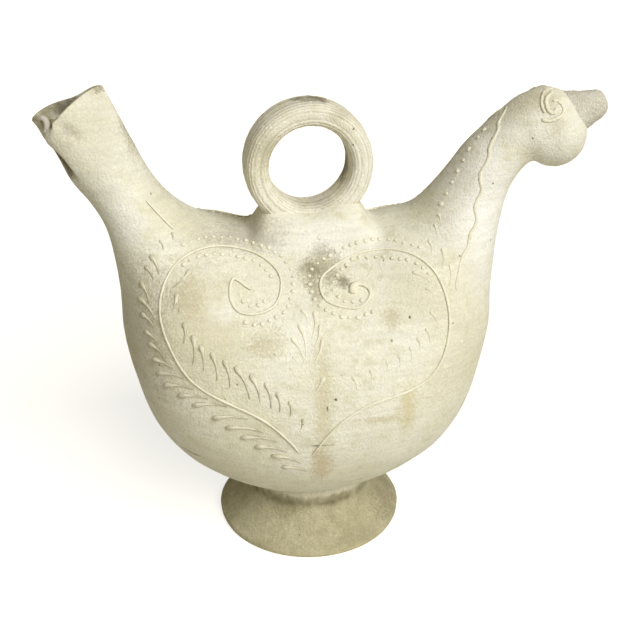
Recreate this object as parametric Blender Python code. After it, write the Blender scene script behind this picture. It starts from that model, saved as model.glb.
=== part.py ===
import math

import bmesh
import bpy
from mathutils import Matrix, Vector
from mathutils.bvhtree import BVHTree

MM = 0.001

# Clay thickness, and the space left between two pieces that are luted together
WALL = 7.0 * MM
JOINT_GAP = 0.3 * MM

# Upright axis of the foot, the belly and the ring handle
AXIS_X = -12.0 * MM
BELLY_X = -12.6 * MM            # the belly leans a little towards the tail

# Belly: an oval bowl, closed above by the hollow back
BELLY_HALF_LENGTH = 116.0 * MM
BELLY_HALF_DEPTH = 88.0 * MM
BELLY_BOTTOM = 28.0 * MM
BELLY_WIDEST = 142.0 * MM
BELLY_FULLNESS = 0.93           # below 1 fills the bowl out towards the foot
SHOULDER_SEAM = 150.0 * MM
FLANK_RISE = 1.0 * MM           # rise of the upright flank for each degree past the widest line
BACK_HEIGHT = 207.5 * MM
BACK_SPREAD = 0.55 * MM         # the fan of sections opens this much on the back for each degree
BACK_LIFT_TO_TAIL = 2.7         # metres of rise for each square metre of run
BACK_LIFT_TO_NECK = 2.8
FAN_ANGLES = range(-120, 121, 30)

# Tail, neck and head: sections as (top x, top z, bottom x, bottom z, half depth) in millimetres, x from
# the belly's end and z from the back. The tail's sections go on with its hand-made shape: taper narrows
# the top, crease folds the lower side inwards, turn moves the fold towards the front (radians), pinch
# presses the back lip in and dip lowers the front lip
TAIL_SECTIONS = (
    (-0.4, 94.5, -42.4, 73.5, 19.0, 0.7, 0.45, 0.98, 0.45, 1.0),
    (13.1, 63.5, -27.4, 42.8, 21.0, 0.25, 0.4, 0.4, 0.1, 0.0),
    (28.1, 30.3, -9.4, 11.5, 24.0, 0.0, 0.0, 0.6, 0.0, 0.0),
)
NECK_SECTIONS = (
    (-32.9, 30.5, 4.6, 1.5, 27.0),
    (-16.9, 52.5, 9.1, 26.0, 21.0),
    (2.2, 70.9, 20.2, 41.0, 19.5),
)
HEAD_SECTIONS = (
    (2.4, 71.0, 20.4, 41.1, 19.5),
    (13.1, 80.1, 28.6, 36.7, 22.0),
    (28.1, 85.7, 37.1, 36.6, 23.0),
)
SHAPE_VALUES = 5
FOLD_WIDE = 0.5                 # radians over which the crease opens towards the back
FOLD_SHARP = 0.16               # and how quickly it ends under the folded front edge
FOLD_FOCUS = 1.1                # draws the points of a section together at its crease
FRONT_DIP = 5.0 * MM
DIP_PLACE = math.pi + 0.95
DIP_WIDE = 0.5
OUTER_SIDES = 40
INNER_SIDES = 24
STEPS = 3

# Head ball and beak
HEAD_WALL = 5.0 * MM
HEAD_LENGTH = 22.3 * MM
HEAD_WAY = Vector((1.0, 0.0, 0.0))
HEAD_STEPS = (25, 48, 66, 80)
BEAK_ROOT = (34.6, 64.9)        # millimetres, from the belly's end and the back
BEAK_TIP = (65.0, 74.9)
BEAK_RADII = (                  # share of the way to the tip, and radius in millimetres
    (0.0, 16.8), (0.38, 14.2), (0.55, 12.3), (0.68, 10.8), (0.8, 9.7), (0.9, 8.6), (0.96, 7.2), (1.0, 4.5))
BORE_RADIUS = 3.0 * MM
BORE_RISE = 74.0 * MM
BORE_LENGTH = 60.0 * MM

# Foot: a flared ring, open below and above
FOOT_RADIUS = 62.5 * MM
FOOT_WAIST = 42.0 * MM
FOOT_HEIGHT = 28.0 * MM
FOOT_EDGE = 4.0 * MM
FOOT_WALL = 8.0 * MM
FOOT_LAND = 9.0 * MM
FOOT_STEPS = 40

# Ring handle and the clay saddle that beds it on the back
RING_X = -11.6 * MM
RING_RADIUS = 31.7 * MM
RING_HALF_THICKNESS = 7.3 * MM
RING_BED = 4.0 * MM             # clay left between the ring and the back
RING_HEIGHT = BACK_HEIGHT + RING_BED + RING_HALF_THICKNESS + RING_RADIUS
RING_HALF_DEPTH = 13.5 * MM
RING_TURN = math.radians(5)
RING_STEPS = 44
RING_PROFILE = 12
SADDLE_HALF_LENGTH = 43.0 * MM
SADDLE_HALF_DEPTH = 25.0 * MM
SADDLE_RISE = 18.0 * MM

# Slip-trailed lines, drawn in millimetres on a plane that leans back with the shoulder: x from the
# belly's middle, and up from the back line
DRAWING_TILT = math.radians(30)
SLIP_WIDTH = 1.9 * MM
SLIP_HEIGHT = 1.2 * MM
SLIP_GAP = 0.6 * MM
SLIP_LINES = {
    "scroll_tail_side": (
        (-9, -142), (-21, -125), (-46, -108), (-73, -91), (-85, -69), (-89, -47), (-84, -28), (-66, -14),
        (-42, -13), (-23, -24), (-18, -37), (-27, -51), (-41, -54), (-49, -45), (-47, -34)),
    "scroll_neck_side": (
        (-4, -138), (9, -121), (29, -110), (58, -101), (73, -85), (78, -56), (72, -37), (55, -20),
        (33, -18), (12, -26), (4, -39), (11, -50), (24, -54), (33, -45), (28, -38), (22, -43)),
    "neck_wave": (
        (114, 53), (110.8, 44.3), (107.4, 34.4), (102, 24.3), (103, 14.5), (98.5, 3.4), (99.5, -2), (93.4, -18),
        (88.9, -24.8), (83.2, -44)),
    "eye_arc": ((147, 70.7), (141.1, 68.9), (137.7, 63.5), (138.9, 58.6), (136.3, 52.2)),
    "eye_curl": ((142.3, 58.8), (144.4, 61.5), (147.7, 61.7), (149.4, 59.4), (148.4, 56.3), (145.3, 54.7)),
}

# Colours as linear red, green, blue, with roughness
CLAY = ((0.74, 0.70, 0.55), 0.85)
DARK_CLAY = ((0.46, 0.42, 0.26), 0.9)
PALE_CLAY = ((0.84, 0.81, 0.70), 0.85)
SLIP = ((0.82, 0.79, 0.66), 0.8)


def clear_scene():
    for item in list(bpy.data.objects):
        bpy.data.objects.remove(item, do_unlink=True)


def make_object(name, bm):
    bmesh.ops.recalc_face_normals(bm, faces=bm.faces)
    mesh = bpy.data.meshes.new(name)
    bm.to_mesh(mesh)
    bm.free()
    item = bpy.data.objects.new(name, mesh)
    bpy.context.collection.objects.link(item)
    return item


def mouth_point(place, end):
    x, z = place
    return Vector((BELLY_X + end * BELLY_HALF_LENGTH + x * MM, 0.0, BACK_HEIGHT + z * MM))


def section_from_mm(row, end):
    # end is -1 for the tail end of the belly and 1 for the neck end
    top = mouth_point(row[0:2], end)
    bottom = mouth_point(row[2:4], end)
    shape = row[5:] or [0.0] * SHAPE_VALUES
    return [top.x, top.z, bottom.x, bottom.z, row[4] * MM, *shape]


def belly_section(angle):
    turn = math.radians(angle)
    side = math.copysign(1.0, angle)
    reach = BACK_SPREAD * angle
    lift = BACK_LIFT_TO_NECK if angle > 0 else BACK_LIFT_TO_TAIL
    top = (BELLY_X + reach, BACK_HEIGHT + lift * reach * reach)
    if abs(angle) <= 90:
        drop = (BELLY_WIDEST - BELLY_BOTTOM) * math.cos(turn) ** BELLY_FULLNESS
        bottom = (BELLY_X + BELLY_HALF_LENGTH * math.sin(turn), BELLY_WIDEST - drop)
    else:
        bottom = (BELLY_X + side * BELLY_HALF_LENGTH, BELLY_WIDEST + FLANK_RISE * (abs(angle) - 90))
    return [*top, *bottom, BELLY_HALF_DEPTH * math.cos(turn / 2)] + [0.0] * SHAPE_VALUES


def smooth(rows, steps):
    # Catmull-Rom curve through every value of the rows
    result = []
    for k in range(len(rows) - 1):
        before = rows[max(k - 1, 0)]
        after = rows[min(k + 2, len(rows) - 1)]
        for step in range(steps):
            t = step / steps
            row = []
            for p0, p1, p2, p3 in zip(before, rows[k], rows[k + 1], after):
                slope = (p2 - p0) * t
                bend = (2 * p0 - 5 * p1 + 4 * p2 - p3) * t * t
                turn = (3 * p1 - p0 - 3 * p2 + p3) * t ** 3
                row.append(p1 + 0.5 * (slope + bend + turn))
            result.append(row)
    result.append(list(rows[-1]))
    return result


def section_frame(row):
    top = Vector((row[0], 0.0, row[1]))
    bottom = Vector((row[2], 0.0, row[3]))
    up = (top - bottom).normalized()
    forward = Vector((up.z, 0.0, -up.x))
    return (top + bottom) / 2, up, forward, (top - bottom).length / 2


def section_ring(row, sides, shrink):
    centre, up, forward, half_height = section_frame(row)
    depth = row[4] - shrink
    half_height -= shrink
    taper, crease, turn, pinch, dip = row[5:]
    fold = math.pi + turn
    points = []
    for k in range(sides):
        even = math.tau * k / sides
        angle = even - FOLD_FOCUS * crease * math.sin(even - fold)
        width = FOLD_WIDE if angle < fold else FOLD_SHARP
        dent = 1.0 - crease * math.exp(-((angle - fold) / width) ** 2)
        rise = (1.0 + math.cos(angle)) / 2
        narrow = 1.0 - taper * rise ** 1.2
        if angle < math.pi:
            narrow *= 1.0 - pinch * rise
        sag = dip * FRONT_DIP * math.exp(-((angle - DIP_PLACE) / DIP_WIDE) ** 2)
        across = Vector((0.0, depth * math.sin(angle) * dent * narrow, 0.0))
        points.append(centre + up * (half_height * math.cos(angle) * dent) + across + forward * sag)
    return points


def loft(name, rings):
    bm = bmesh.new()
    loops = [[bm.verts.new(point) for point in ring] for ring in rings]
    for first, second in zip(loops, loops[1:]):
        for k in range(len(first)):
            m = (k + 1) % len(first)
            bm.faces.new((first[k], first[m], second[m], second[k]))
    bm.faces.new(loops[0])
    bm.faces.new(loops[-1])
    return make_object(name, bm)


def trunk_rows():
    rows = [section_from_mm(row, -1) for row in TAIL_SECTIONS]
    rows += [belly_section(angle) for angle in FAN_ANGLES]
    rows += [section_from_mm(row, 1) for row in NECK_SECTIONS]
    return smooth(rows, STEPS)


def head_rows(shrink):
    rows = smooth([section_from_mm(row, 1) for row in HEAD_SECTIONS], STEPS)
    centre, up, forward, half_height = section_frame(rows[-1])
    depth = rows[-1][4]
    for step in HEAD_STEPS:
        turn = math.radians(step)
        middle = centre + HEAD_WAY * ((HEAD_LENGTH - shrink) * math.sin(turn))
        height = (half_height - shrink) * math.cos(turn) + shrink
        top = middle + up * height
        bottom = middle - up * height
        wide = (depth - shrink) * math.cos(turn) + shrink
        rows.append([top.x, top.z, bottom.x, bottom.z, wide] + [0.0] * SHAPE_VALUES)
    return rows


def pushed_out(rows, first, last):
    # the same rows, with the end sections moved along their own direction
    moved = [list(row) for row in rows]
    for row, distance in ((moved[0], -first), (moved[-1], last)):
        forward = section_frame(row)[2]
        for k in (0, 2):
            row[k] += forward.x * distance
            row[k + 1] += forward.z * distance
    return moved


def cut(item, cutter, operation):
    modifier = item.modifiers.new("cut", "BOOLEAN")
    modifier.solver = "EXACT"
    modifier.operation = operation
    modifier.object = cutter
    graph = bpy.context.evaluated_depsgraph_get()
    mesh = bpy.data.meshes.new_from_object(item.evaluated_get(graph))
    item.modifiers.remove(modifier)
    item.data = mesh


def copy_of(item, name):
    twin = bpy.data.objects.new(name, item.data.copy())
    bpy.context.collection.objects.link(twin)
    return twin


def half_space(point, direction):
    # a large block whose near face passes through the point and faces back along the direction
    bm = bmesh.new()
    bmesh.ops.create_cube(bm, size=2.0)
    bmesh.ops.translate(bm, verts=bm.verts, vec=(0.0, 0.0, 1.0))
    turn = direction.to_track_quat("Z", "Y").to_matrix().to_4x4()
    bmesh.ops.transform(bm, matrix=Matrix.Translation(point) @ turn, verts=bm.verts)
    return make_object("block", bm)


def keep_beyond(item, point, direction):
    block = half_space(point, direction)
    cut(item, block, "INTERSECT")
    bpy.data.objects.remove(block)


def spun(name, profile, steps, axis):
    bm = bmesh.new()
    verts = [bm.verts.new(point) for point in profile]
    edges = [bm.edges.new((verts[k - 1], verts[k])) for k in range(len(verts))]
    bmesh.ops.spin(bm, geom=verts + edges, cent=(0, 0, 0), axis=axis, angle=math.tau,
                   steps=steps, use_merge=True)
    bmesh.ops.remove_doubles(bm, verts=bm.verts, dist=0.01 * MM)
    return make_object(name, bm)


def move_mesh(item, matrix):
    item.data.transform(matrix)


def build_shell():
    rows = trunk_rows()
    shell = loft("shell", [section_ring(row, OUTER_SIDES, 0.0) for row in rows])
    hollow_rows = pushed_out(rows, WALL, WALL)
    hollow = loft("hollow", [section_ring(row, INNER_SIDES, WALL) for row in hollow_rows])
    cut(shell, hollow, "DIFFERENCE")
    bpy.data.objects.remove(hollow)
    return shell


def build_trunk_pieces(shell):
    tail_row = section_from_mm(TAIL_SECTIONS[-1], -1)
    neck_row = section_from_mm(NECK_SECTIONS[0], 1)
    tail_point, up, tail_way, size = section_frame(tail_row)
    neck_point, up, neck_way, size = section_frame(neck_row)
    half_gap = JOINT_GAP / 2
    upright = Vector((0.0, 0.0, 1.0))
    seam = Vector((0.0, 0.0, SHOULDER_SEAM))

    tail = copy_of(shell, "tail_spout")
    keep_beyond(tail, tail_point - tail_way * half_gap, -tail_way)
    neck = copy_of(shell, "neck")
    keep_beyond(neck, neck_point + neck_way * half_gap, neck_way)
    back = copy_of(shell, "back")
    keep_beyond(back, tail_point + tail_way * half_gap, tail_way)
    keep_beyond(back, neck_point - neck_way * half_gap, -neck_way)
    belly = copy_of(back, "belly")
    keep_beyond(back, seam + upright * half_gap, upright)
    keep_beyond(belly, seam - upright * half_gap, -upright)
    return tail, neck, back, belly


def build_head():
    rows = pushed_out(head_rows(0.0), 0.0, 0.0)
    head = loft("head", [section_ring(row, 32, 0.0) for row in rows])
    hollow_rows = pushed_out(head_rows(HEAD_WALL), HEAD_WALL, 0.0)
    hollow = loft("hollow", [section_ring(row, 20, HEAD_WALL) for row in hollow_rows])
    cut(head, hollow, "DIFFERENCE")
    bpy.data.objects.remove(hollow)
    return head


def build_beak(head_cutter):
    root = mouth_point(BEAK_ROOT, 1)
    way = mouth_point(BEAK_TIP, 1) - root
    forward = way.normalized()
    up = Vector((-forward.z, 0.0, forward.x))
    rings = []
    for place, radius in BEAK_RADII:
        ring = []
        for k in range(24):
            angle = math.tau * k / 24
            across = Vector((0.0, math.sin(angle), 0.0))
            ring.append(root + way * place + (up * math.cos(angle) + across) * (radius * MM))
        rings.append(ring)
    beak = loft("beak", rings)
    cut(beak, head_cutter, "DIFFERENCE")
    return beak


def drill(item):
    bm = bmesh.new()
    bmesh.ops.create_cone(bm, cap_ends=True, segments=16, radius1=BORE_RADIUS, radius2=BORE_RADIUS,
                          depth=BORE_LENGTH)
    turn = Matrix.Rotation(math.radians(90), 4, "Y")
    place = Matrix.Translation((mouth_point(BEAK_TIP, 1).x, 0.0, BACK_HEIGHT + BORE_RISE))
    bmesh.ops.transform(bm, matrix=place @ turn, verts=bm.verts)
    bore = make_object("bore", bm)
    cut(item, bore, "DIFFERENCE")
    bpy.data.objects.remove(bore)


def build_foot(belly_cutter):
    outer = [(FOOT_RADIUS, FOOT_EDGE)]
    inner = []
    for step in range(1, 7):
        t = step / 6
        height = FOOT_EDGE + (FOOT_HEIGHT - FOOT_EDGE) * t
        radius = FOOT_WAIST + (FOOT_RADIUS - FOOT_WAIST) * (1 - t) ** 1.5
        outer.append((radius, height))
        inner.append((radius - FOOT_WALL, height - FOOT_EDGE))
    rim_top = BELLY_WIDEST / 2
    outer.append((FOOT_WAIST, rim_top))
    inner.append((FOOT_WAIST - FOOT_WALL, rim_top))
    bottom = [(FOOT_RADIUS - FOOT_LAND - 1.0 * MM, 0.0), (FOOT_RADIUS - 1.0 * MM, 0.0)]
    profile = bottom + outer + list(reversed(inner))
    foot = spun("foot", [Vector((r, 0.0, z)) for r, z in profile], FOOT_STEPS, (0, 0, 1))
    move_mesh(foot, Matrix.Translation((AXIS_X, 0.0, 0.0)))
    cut(foot, belly_cutter, "DIFFERENCE")
    return foot


def ring_shape(name, extra):
    profile = []
    for k in range(RING_PROFILE):
        angle = math.tau * k / RING_PROFILE
        c = math.copysign(abs(math.cos(angle)) ** 0.65, math.cos(angle))
        s = math.copysign(abs(math.sin(angle)) ** 0.65, math.sin(angle))
        across = RING_RADIUS + (RING_HALF_THICKNESS + extra) * c
        profile.append(Vector((across, (RING_HALF_DEPTH + extra) * s, 0.0)))
    ring = spun(name, profile, RING_STEPS, (0, 1, 0))
    move_mesh(ring, Matrix.Translation((RING_X, 0.0, RING_HEIGHT)) @ Matrix.Rotation(RING_TURN, 4, "Z"))
    return ring


def build_saddle(cutters):
    bm = bmesh.new()
    bmesh.ops.create_uvsphere(bm, u_segments=32, v_segments=16, radius=1.0)
    bmesh.ops.scale(bm, vec=(SADDLE_HALF_LENGTH, SADDLE_HALF_DEPTH, SADDLE_RISE), verts=bm.verts)
    bmesh.ops.translate(bm, vec=(RING_X, 0.0, BACK_HEIGHT), verts=bm.verts)
    saddle = make_object("handle_saddle", bm)
    for cutter in cutters:
        cut(saddle, cutter, "DIFFERENCE")
    return saddle


def drawn_path(name):
    rows = [list(point) for point in SLIP_LINES[name]]
    level = BACK_HEIGHT * math.cos(DRAWING_TILT)
    return [(BELLY_X + x * MM, level + w * MM) for x, w in smooth(rows, STEPS)]


def lay_on_skin(skins, path, side):
    # each drawn point is carried onto the clay along the tilted line of sight
    way = Vector((0.0, -side * math.cos(DRAWING_TILT), -math.sin(DRAWING_TILT)))
    rise = Vector((0.0, -side * math.sin(DRAWING_TILT), math.cos(DRAWING_TILT)))
    laid = []
    for x, w in path:
        start = Vector((x, 0.0, 0.0)) + rise * w - way
        hits = [skin.ray_cast(start, way) for skin in skins]
        hits = [hit for hit in hits if hit[0] is not None]
        place, normal, index, distance = min(hits, key=lambda hit: hit[3])
        laid.append((place, normal))
    return laid


def trail(name, skins, path, side):
    laid = lay_on_skin(skins, path, side)
    rings = []
    for k, (place, normal) in enumerate(laid):
        before = laid[max(k - 1, 0)][0]
        after = laid[min(k + 1, len(laid) - 1)][0]
        across = (after - before).cross(normal).normalized()
        low = place + normal * SLIP_GAP
        high = low + normal * SLIP_HEIGHT
        half = across * (SLIP_WIDTH / 2)
        crown = across * (SLIP_WIDTH / 5)
        rings.append([low - half, high - crown, high + crown, low + half])
    return loft(name, rings)


def build_slip_lines(skins):
    for line in SLIP_LINES:
        path = drawn_path(line)
        trail(line + "_front", skins, path, -1.0)
        trail(line + "_back", skins, path, 1.0)


def skin_of(item):
    bm = bmesh.new()
    bm.from_mesh(item.data)
    tree = BVHTree.FromBMesh(bm)
    bm.free()
    return tree


def paint(item):
    colour, roughness = CLAY
    if item.name in ("foot", "handle_ring"):
        colour, roughness = DARK_CLAY if item.name == "foot" else CLAY
    elif item.name in ("tail_spout", "beak"):
        colour, roughness = PALE_CLAY
    elif item.name.endswith(("_front", "_back")):
        colour, roughness = SLIP
    material = bpy.data.materials.new(item.name)
    material.use_nodes = True
    shader = material.node_tree.nodes["Principled BSDF"]
    shader.inputs["Base Color"].default_value = (*colour, 1.0)
    shader.inputs["Roughness"].default_value = roughness
    item.data.materials.clear()
    item.data.materials.append(material)


def main():
    clear_scene()
    shell = build_shell()
    build_trunk_pieces(shell)
    bpy.data.objects.remove(shell)

    rows = trunk_rows()
    trunk_cutter = loft("trunk_cutter", [section_ring(row, OUTER_SIDES, -JOINT_GAP) for row in rows])
    head_cutter = loft("head_cutter", [section_ring(row, 32, -JOINT_GAP) for row in head_rows(0.0)])
    ring_cutter = ring_shape("ring_cutter", JOINT_GAP)

    head = build_head()
    drill(head)
    beak = build_beak(head_cutter)
    drill(beak)
    build_foot(trunk_cutter)
    ring_shape("handle_ring", 0.0)
    build_saddle((trunk_cutter, ring_cutter))
    for cutter in (trunk_cutter, head_cutter, ring_cutter):
        bpy.data.objects.remove(cutter)

    trunk_skin = loft("trunk_skin", [section_ring(row, OUTER_SIDES, 0.0) for row in rows])
    head_skin = loft("head_skin", [section_ring(row, 32, 0.0) for row in head_rows(0.0)])
    build_slip_lines((skin_of(trunk_skin), skin_of(head_skin)))
    bpy.data.objects.remove(trunk_skin)
    bpy.data.objects.remove(head_skin)
    for item in bpy.data.objects:
        paint(item)


main()
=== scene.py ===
import math
import random

import bpy
import numpy as np
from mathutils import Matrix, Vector, noise


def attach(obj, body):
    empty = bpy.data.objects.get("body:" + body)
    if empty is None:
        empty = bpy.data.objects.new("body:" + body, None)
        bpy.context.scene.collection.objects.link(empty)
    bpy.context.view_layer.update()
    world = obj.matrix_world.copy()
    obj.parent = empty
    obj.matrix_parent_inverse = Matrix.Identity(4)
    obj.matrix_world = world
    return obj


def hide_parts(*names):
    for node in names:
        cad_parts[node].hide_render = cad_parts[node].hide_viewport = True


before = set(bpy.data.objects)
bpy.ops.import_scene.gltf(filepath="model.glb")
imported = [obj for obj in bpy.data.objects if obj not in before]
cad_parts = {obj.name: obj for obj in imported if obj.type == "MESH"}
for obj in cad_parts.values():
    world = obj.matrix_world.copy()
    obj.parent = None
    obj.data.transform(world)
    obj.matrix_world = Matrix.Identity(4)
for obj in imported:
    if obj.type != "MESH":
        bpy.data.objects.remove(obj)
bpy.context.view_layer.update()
mm = 0.001
draw = random.Random(7)


def tone(code):  # sRGB hex to the linear colour that shaders use
    parts = [int(code[i:i + 2], 16) / 255 for i in (1, 3, 5)]
    return [c / 12.92 if c <= 0.04045 else ((c + 0.055) / 1.055) ** 2.4 for c in parts] + [1.0]


def add(tree, kind, values=None, out=0, **settings):  # one node, set and wired; gives an output, or itself
    node = tree.nodes.new(kind)
    for key, value in settings.items():
        setattr(node, key, value)
    for key, value in (values or {}).items():
        if isinstance(value, bpy.types.NodeSocket):
            tree.links.new(value, node.inputs[key])
        else:
            node.inputs[key].default_value = value
    return node if out is None or len(node.outputs) == 0 else node.outputs[out]


def emptyTree(block):  # cleared node tree of a material or of the world
    block.use_nodes = True
    block.node_tree.nodes.clear()
    return block.node_tree


def newItem(name, data):  # object in the scene
    item = bpy.data.objects.new(name, data)
    bpy.context.collection.objects.link(item)
    return item


def span(low, high, most=1.0):  # Map Range inputs: nothing shows at the first value, most at the second
    return {"From Min": low, "From Max": high, "To Max": most}


def stainAndShade(at, size, colour, force):  # place and size in millimetres, colour and strength
    return dict(at=[c * mm for c in at], size=[c * mm for c in size], colour=tone(colour), force=force)


# clays: colours, sizes of the mottling in millimetres, and stains and patches of painted shade

clayLooks = {
    # fine pale clay, wiped with a wet hand and fired without glaze: dry, matt and cloudy
    "wiped cream clay": dict(
        pale="#F7F5E6", mid="#EFECD6", warm="#DAD5B5", grime="#7C7250", cloud=46, mottle=9, fleck=3.4,
        grit=1.5, pits=0.7, speckle=(0.92, 1.05), wipes=0.6, bump=0.3, stainsAndShade=[
            stainAndShade((-140, -10, 268), (46, 60, 58), "#DDDACB", 0.35),  # greyer, dusty tail
            stainAndShade((-6, -28, 213), (40, 26, 18), "#FBFAF2", 0.85),
            stainAndShade((90, -28, 225), (28, 60, 60), "#FFFFFC", 0.8),
            stainAndShade((130, -18, 267), (26, 40, 30), "#FDFCF4", 0.5),
            stainAndShade((74, -60, 166), (30, 60, 60), "#DCD4B4", 0.4),
            # the next two darken the left of the belly towards the tail: painted shade
            stainAndShade((-82, -65, 172), (40, 50, 50), "#D2C9A6", 0.4),
            stainAndShade((-118, -42, 165), (25, 50, 60), "#A89F7E", 0.4),
            stainAndShade((-156, -1, 261), (5, 6, 5), "#4A4328", 0.75),  # dark slit: painted shade in the crease under the tail
            stainAndShade((-154, -3.5, 256.5), (5, 6, 5), "#4A4328", 0.75),
            stainAndShade((-151.5, -6.5, 252), (5, 6, 5), "#4A4328", 0.6),
            stainAndShade((133, -20, 275), (8, 14, 9), "#C6BC9C", 0.35),  # rubbed head
            stainAndShade((113, -13, 283), (9, 14, 8), "#B9AE88", 0.15),
            stainAndShade((116, -12, 259), (9, 16, 8), "#C2B792", 0.35),
            stainAndShade((-64, -61, 185), (13, 24, 9), "#FBFAF2", 0.6),
            stainAndShade((-17, -69, 172), (10, 24, 14), "#FBFAF2", 0.6),
            stainAndShade((45, -72, 160), (30, 30, 18), "#F8F7EC", 0.3),
            stainAndShade((-7, -38, 199), (13, 22, 13), "#857B52", 0.58),  # brown blot by the ring
            stainAndShade((-15, -40, 198), (8, 14, 7), "#8A7F58", 0.45),
            stainAndShade((-12, -51, 190), (5, 14, 10), "#857B52", 0.5),
            stainAndShade((4.5, -48, 193), (5, 12, 4.5), "#776C48", 0.7),
            stainAndShade((-11, -86, 128), (7, 40, 62), "#CFC59A", 0.5),  # drip below it
            stainAndShade((-12, -84, 87), (9, 40, 18), "#CFBA92", 0.5),  # brown run low down
            stainAndShade((-14, -87, 105.3), (8, 14, 0.9), "#5F5638", 0.7),  # scratch between scrolls
            stainAndShade((39.5, -80, 124), (6, 30, 24), "#DACF9E", 0.6),  # yellow run
            stainAndShade((-46, -14, 213), (30, 24, 11), "#B5ACA0", 0.55),  # smoky smear on the back
            stainAndShade((65, -19, 224), (16, 20, 14), "#C9BF9E", 0.2),
            stainAndShade((80, -18, 239), (13, 18, 12), "#C9BF9E", 0.15),
            stainAndShade((-120, -26, 226), (16, 34, 20), "#FFFFFA", 0.5),  # clean tail root
            stainAndShade((-76, -27, 220), (18, 30, 16), "#CFC8AE", 0.35),  # greyer shoulder
            stainAndShade((-42, -73, 167), (12, 24, 10), "#C9BF98", 0.5),
            stainAndShade((-85, -58, 190), (11, 24, 12), "#CCC29E", 0.5),
            stainAndShade((31, -66, 177), (7, 20, 7), "#C5B994", 0.5),
            stainAndShade((124, -12, 288), (14, 18, 8), "#C2B895", 0.5),
            stainAndShade((-131, -4, 299), (6, 8, 4.5), "#8A7C54", 0.6),  # worn corner of the tail
            stainAndShade((-116, -2, 270), (5, 7, 34), "#B0A88C", 0.5),
            stainAndShade((-148, -16, 277), (9, 20, 8), "#BBB5A6", 0.45),  # painted shade in the thumb dent
            stainAndShade((24, -85, 120), (16, 30, 3), "#CBBE92", 0.45),
            stainAndShade((-90, -57, 85), (10, 16, 2), "#8A7F58", 0.5),
            stainAndShade((152, 0, 277), (13, 26, 20), "#F4F0E2", 0.5),  # sandy clay round the beak
            stainAndShade((29.8, -73.3, 166), (1.1, 9, 1.1), "#5F5638", 0.9),  # dark pits
            stainAndShade((41.3, -66.9, 177.1), (0.9, 9, 1.0), "#5F5638", 0.9),
            stainAndShade((-4, -85.8, 135.9), (0.9, 9, 0.9), "#5F5638", 0.9),
            stainAndShade((-9, -86.9, 130.9), (0.8, 9, 2.4), "#5F5638", 0.9),
        ]),
    # the rolled end of the lip was smoothed last, so it is the palest and cleanest clay
    "smoothed pale clay": dict(
        pale="#E8E2D8", mid="#DAD3C8", warm="#C8C0B0", grime="#7C7258", cloud=30, mottle=8, fleck=2.6,
        grit=1.5, pits=0.4, speckle=(0.92, 1.04), wipes=0.0, bump=0.25, stainsAndShade=[]),
    # sandy clay left rough from the fingers
    "gritty pale clay": dict(
        pale="#F4F1E4", mid="#E8E4D4", warm="#CBC5AE", grime="#857B5E", cloud=9, mottle=2.5, fleck=1.6,
        grit=1.1, pits=0.9, speckle=(0.88, 1.12), wipes=0.0, bump=0.6, stainsAndShade=[]),
    # foot under the body: darkened all over as painted shade, dull, with a paler collar and a rubbed edge
    "foot clay with painted shade": dict(
        pale="#CBC5A6", mid="#B5AE8E", warm="#9C9576", grime="#6E6648", cloud=20, mottle=6, fleck=2.4,
        grit=1.5, pits=0.8, speckle=(0.78, 1.14), wipes=0.3, bump=0.4, stainsAndShade=[
            stainAndShade((-12, 0, 36), (400, 400, 4.8), "#EAE5CE", 0.9),
            stainAndShade((-12, 0, 0), (400, 400, 4.5), "#D8CDA2", 0.7),
            stainAndShade((46, -22, 16), (20, 40, 20), "#918A6E", 0.45),
        ]),
    # ring turned on the wheel and handled for years: greenish grime in the grooves
    "handled ring clay": dict(
        pale="#FCF9EA", mid="#F5F1DC", warm="#E4DDBE", grime="#7E744E", cloud=22, mottle=5, fleck=2.2,
        grit=1.4, pits=0.9, speckle=(0.92, 1.05), wipes=0.0, bump=0.35, stainsAndShade=[
            stainAndShade((-36, -12, 264), (13, 24, 14), "#A2986F", 0.42),
            stainAndShade((-4, 1, 289), (26, 10, 1.8), "#75694A", 0.8),
            stainAndShade((13, 6, 246), (7, 9, 24), "#5A4E2E", 0.85),  # shaded far side of the hole
            # painted shade at the bottom of the hole
            stainAndShade((-4, -2, 226), (26, 14, 5), "#B5AA9C", 0.5),
            stainAndShade((8, -11, 283), (11, 10, 5), "#A79C74", 0.35),
            stainAndShade((22, -10, 251), (14, 30, 30), "#FEFCF2", 0.5),
        ]),
    # trailed liquid clay: rubbed pale on the crown, dirt and painted shade where it meets the wall
    "trailed clay slip": dict(
        pale="#F9F6E5", mid="#F1EDD8", warm="#E4DEC0", grime="#8F8560", cloud=30, mottle=6, fleck=2.6,
        grit=1.5, pits=0.2, speckle=(0.94, 1.05), wipes=0.0, bump=0.2, stainsAndShade=[]),
}
# shared by every clay: the noises' detail and roughness, and from where to where a noise shows
clayRule = dict(
    noises=dict(cloud=(4.0, 0.55), mottle=(5.0, 0.65), fleck=(3.0, 0.6), grit=(4.0, 0.7), wipe=(3.0, 0.6)),
    patches=(("cloud", "mid", span(0.38, 0.66)),
             ("mottle", "warm", span(0.5, 0.72, 0.6)),
             ("fleck", "warm", span(0.52, 0.75, 0.4))),
    gritShows=span(0.25, 0.75),
    markShows=span(1.15, 0.25), markMottle=1.8, markGrit=1.6, markShift=-1.7,
    pitCell=7.5, pitChance=span(0.84, 0.86), pitShows=span(0.11, 0.05),
    dirtAndShadeShows=span(0.2, 0.62),
    wipeSize=2.4, wipeShows=span(0.3, 0.7), wipeDark=0.12, wipePale=0.06,
    wipeStretch=(0.09, 0.09, 1.0),  # wipe marks run level round the pot
    mottleHeight=0.9, roughness=0.88, gloss=0.25,
)


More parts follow.
